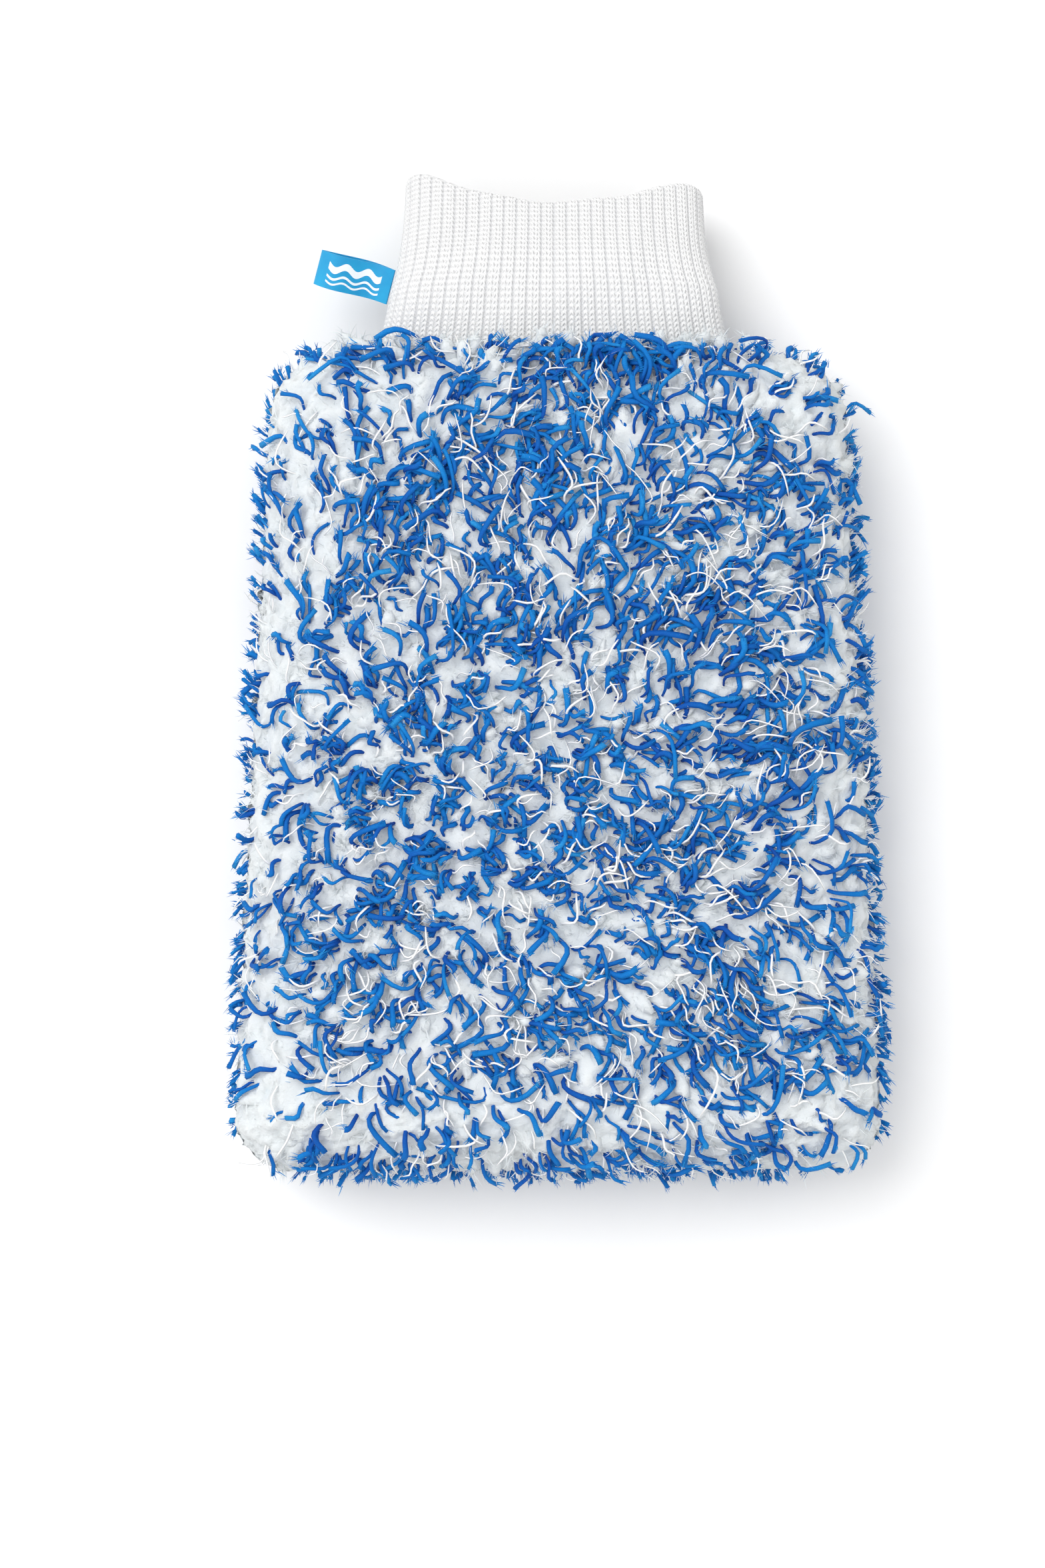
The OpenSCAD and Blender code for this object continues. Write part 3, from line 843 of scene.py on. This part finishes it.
def print_blue():
    """Satin ribbon, printed cyan outside, with a plain motif of waves."""
    mat, tree, shader = new_material("printed_ribbon", 0.5, 0.1)
    uv = tree.nodes.new("ShaderNodeUVMap")
    uv.uv_map = "UVMap"
    split = tree.nodes.new("ShaderNodeSeparateXYZ")
    tree.links.new(uv.outputs["UV"], split.inputs[0])
    u, v = split.outputs[0], split.outputs[1]

    def wave_line(height, swing, turns, half_width):
        swell = math_node(tree, "SINE", math_node(tree, "MULTIPLY", u, turns))
        swell = math_node(tree, "MULTIPLY", swell, swing)
        away = math_node(tree, "SUBTRACT", math_node(tree, "SUBTRACT", v, height), swell)
        away = math_node(tree, "ABSOLUTE", away)
        return math_node(tree, "LESS_THAN", away, half_width)

    mark = math_node(tree, "MAXIMUM", wave_line(0.64, 0.08, 46.0, 0.1), wave_line(0.36, 0.06, 46.0, 0.035))
    mark = math_node(tree, "MAXIMUM", mark, wave_line(0.2, 0.05, 46.0, 0.028))
    inside = math_node(tree, "MULTIPLY", math_node(tree, "GREATER_THAN", u, 0.075),
                       math_node(tree, "LESS_THAN", u, 0.42))
    mark = math_node(tree, "MULTIPLY", mark, inside)

    weave = math_node(tree, "MULTIPLY", math_node(tree, "SINE", math_node(tree, "MULTIPLY", v, 260.0)),
                      math_node(tree, "SINE", math_node(tree, "MULTIPLY", u, 900.0)))
    shade = math_node(tree, "ADD", math_node(tree, "MULTIPLY", weave, 0.12), noise(tree, 130, 3))
    cyan = ramp(tree, shade, [(0.3, (0.0, 0.28, 0.58)), (0.75, (0.0, 0.37, 0.68))])
    mix = tree.nodes.new("ShaderNodeMix")
    mix.data_type = "RGBA"
    tree.links.new(mark, mix.inputs["Factor"])
    tree.links.new(cyan, mix.inputs["A"])
    mix.inputs["B"].default_value = (0.88, 0.92, 0.94, 1)
    tree.links.new(mix.outputs["Result"], shader.inputs["Base Color"])
    bump(tree, shader, weave, 0.25, 0.1 * MM)
    return mat


def ribbon_label():
    """A ribbon folded into a loop. It leaves the cuff's side, waves a little and comes back."""
    label = grid("ribbon_label", 120, 12)
    flat = points_of(label)
    length, wide = 23 * MM, 10.6 * MM
    k, v = flat[:, 0], flat[:, 1]
    u = np.where(k < 0.5, k, 1 - k) * 2
    rounding = np.clip((0.08 - np.abs(k - 0.5)) / 0.08, 0, 1)
    reach = length * (u - 0.012 * rounding ** 2)
    degrees = np.pi / 180
    mm = reach / MM
    wave_mm = 24
    wave = -2.0 * np.sin(360 * mm / wave_mm * degrees) - 0.5 * np.sin(180 * mm / wave_mm * degrees)
    opening = 4.6 * np.sin(np.pi * np.clip(u, 0, 1) ** 1.35)
    lift = np.where(k < 0.5, 0.25, -0.75) * opening
    lift = lift + np.where(k < 0.5, 0.22, -0.22) * np.sqrt(np.clip(1 - rounding, 0, 1))
    lx, ly, lz = reach, (wave + lift) * MM, (v - 0.5) * wide
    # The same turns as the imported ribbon: roll about its length, then lean towards the mouth.
    roll, lean = math.radians(90 - 28), math.radians(180 - 17)
    y1, z1 = ly * math.cos(roll) - lz * math.sin(roll), ly * math.sin(roll) + lz * math.cos(roll)
    x2, y2 = lx * math.cos(lean) - y1 * math.sin(lean), lx * math.sin(lean) + y1 * math.cos(lean)
    past_bend = 1.5 * MM
    cuff_side = 45 * MM + 4 * MM * math.exp(-1.5 / 9)
    x3, y3, z3 = x2 - cuff_side - 0.6 * MM, y2 + past_bend, z1
    world = np.stack([x3 + bend[0], bend[1] + y3 * math.cos(DROOP) + z3 * math.sin(DROOP),
                      bend[2] - y3 * math.sin(DROOP) + z3 * math.cos(DROOP)], axis=-1)
    move_to(label, world)
    thick = label.modifiers.new("thickness", "SOLIDIFY")
    thick.thickness = 0.35 * MM
    thick.offset = 0
    thick.material_offset = 1
    thick.material_offset_rim = 1
    bpy.ops.object.modifier_apply(modifier=thick.name)
    bpy.ops.object.shade_smooth_by_angle(angle=math.radians(50))
    label.data.materials.append(print_blue())
    inside = woven("ribbon_inside", (0.82, 0.87, 0.9), (0.7, 0.77, 0.82), 12000, 0.6)
    label.data.materials.append(inside)
    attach(label, "label")
    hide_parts("label_ribbon")


ribbon_label()


# ---------------------------------------------------------------- floor and light

def add_stage():
    """A pale floor, a white surround and soft light, most of it from the upper left."""
    bpy.ops.object.select_all(action="DESELECT")
    bpy.ops.mesh.primitive_plane_add(size=6, location=(0, 0, 0))
    floor = bpy.context.object
    floor.name = "floor"
    mat, tree, shader = new_material("floor_white", 0.9)
    tree.links.new(ramp(tree, noise(tree, 3, 2), [(0, (0.9, 0.9, 0.9)), (1, (0.93, 0.93, 0.93))]),
                   shader.inputs["Base Color"])
    floor.data.materials.append(mat)
    world = bpy.data.worlds.new("surround")
    world.use_nodes = True
    world.node_tree.nodes["Background"].inputs["Color"].default_value = (1, 1, 1, 1)
    world.node_tree.nodes["Background"].inputs["Strength"].default_value = 0.58
    bpy.context.scene.world = world
    for name, place, spread, strength in [("key", (-0.9, 0.75, 1.5), 45, 1.7),
                                          ("top", (0.15, -0.2, 1), 100, 1.0)]:
        data = bpy.data.lights.new(name, "SUN")
        data.angle = math.radians(spread)
        data.energy = strength
        lamp = bpy.data.objects.new(name, data)
        lamp.location = place
        lamp.rotation_euler = (Vector((0, 0, 0)) - Vector(place)).to_track_quat("-Z", "Y").to_euler()
        bpy.context.scene.collection.objects.link(lamp)
    bpy.context.scene.view_settings.view_transform = "Standard"


add_stage()
